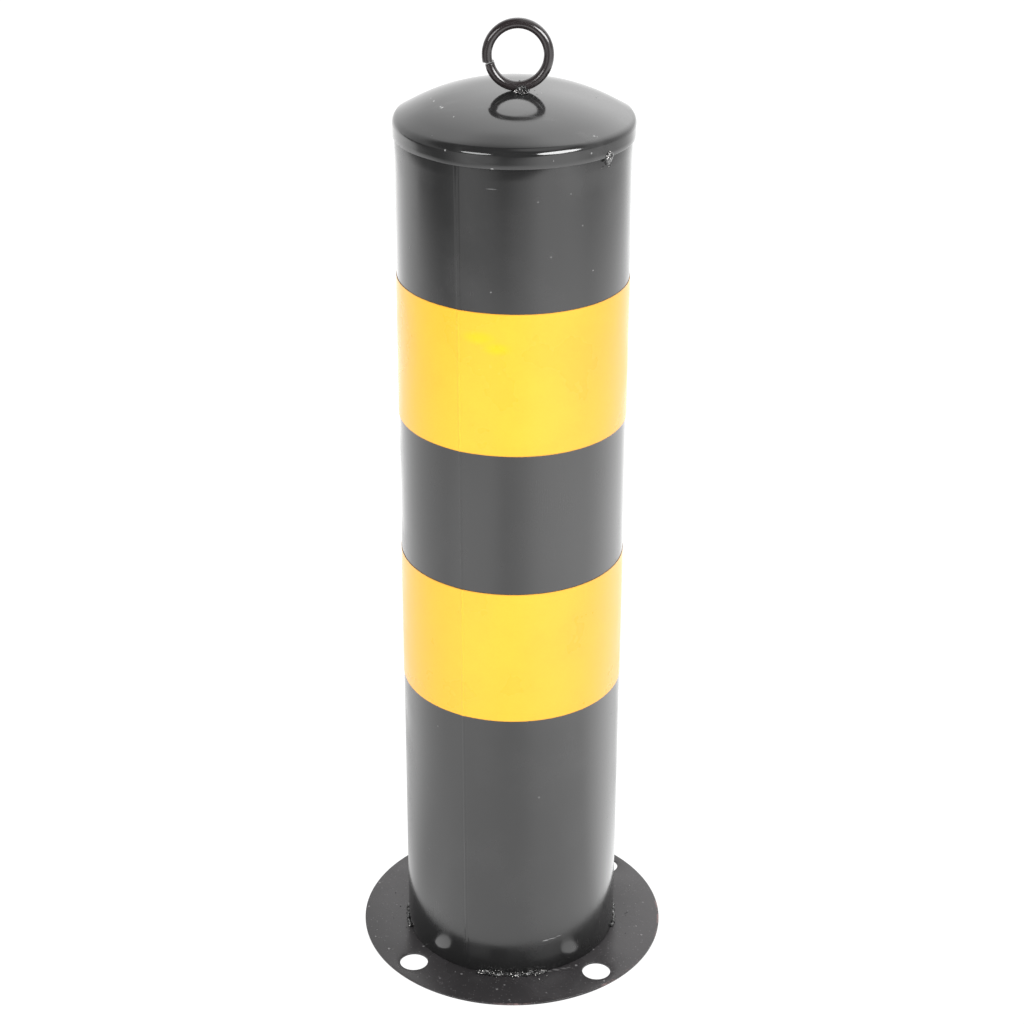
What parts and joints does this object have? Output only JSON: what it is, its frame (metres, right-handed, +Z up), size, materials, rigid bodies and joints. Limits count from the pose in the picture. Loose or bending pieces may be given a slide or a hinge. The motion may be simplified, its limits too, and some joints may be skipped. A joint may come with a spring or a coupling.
{
  "type": "bollard",
  "caption": "Fixed round steel warning bollard with a domed cap, a welded wire ring on top, reflective bands and a bolt-down flange.",
  "frame": {"origin": "centre of the flange's underside, on the ground", "axes": "+Z up along the tube; -Y is the front, the side that the ring and its weld bead stand on; the bolt holes lie on the diagonals between X and Y"},
  "size_m": [0.164, 0.164, 0.511],
  "materials": {
    "black_paint": "gloss",
    "cap_paint": "gloss",
    "ring_paint": "gloss",
    "weld_paint": "gloss",
    "yellow_tape": "satin"
  },
  "bodies": {
    "root": {"base_flange": "black_paint", "post_tube": "black_paint", "dome_cap": "cap_paint", "lifting_ring": "ring_paint", "ring_weld": "weld_paint", "cap_tack_front": "weld_paint", "cap_tack_rear": "weld_paint", "flange_weld_front": "weld_paint", "flange_weld_left": "weld_paint", "flange_weld_right": "weld_paint", "flange_weld_rear": "weld_paint", "upper_reflective_band": "yellow_tape", "lower_reflective_band": "yellow_tape"}
  },
  "joints": []
}
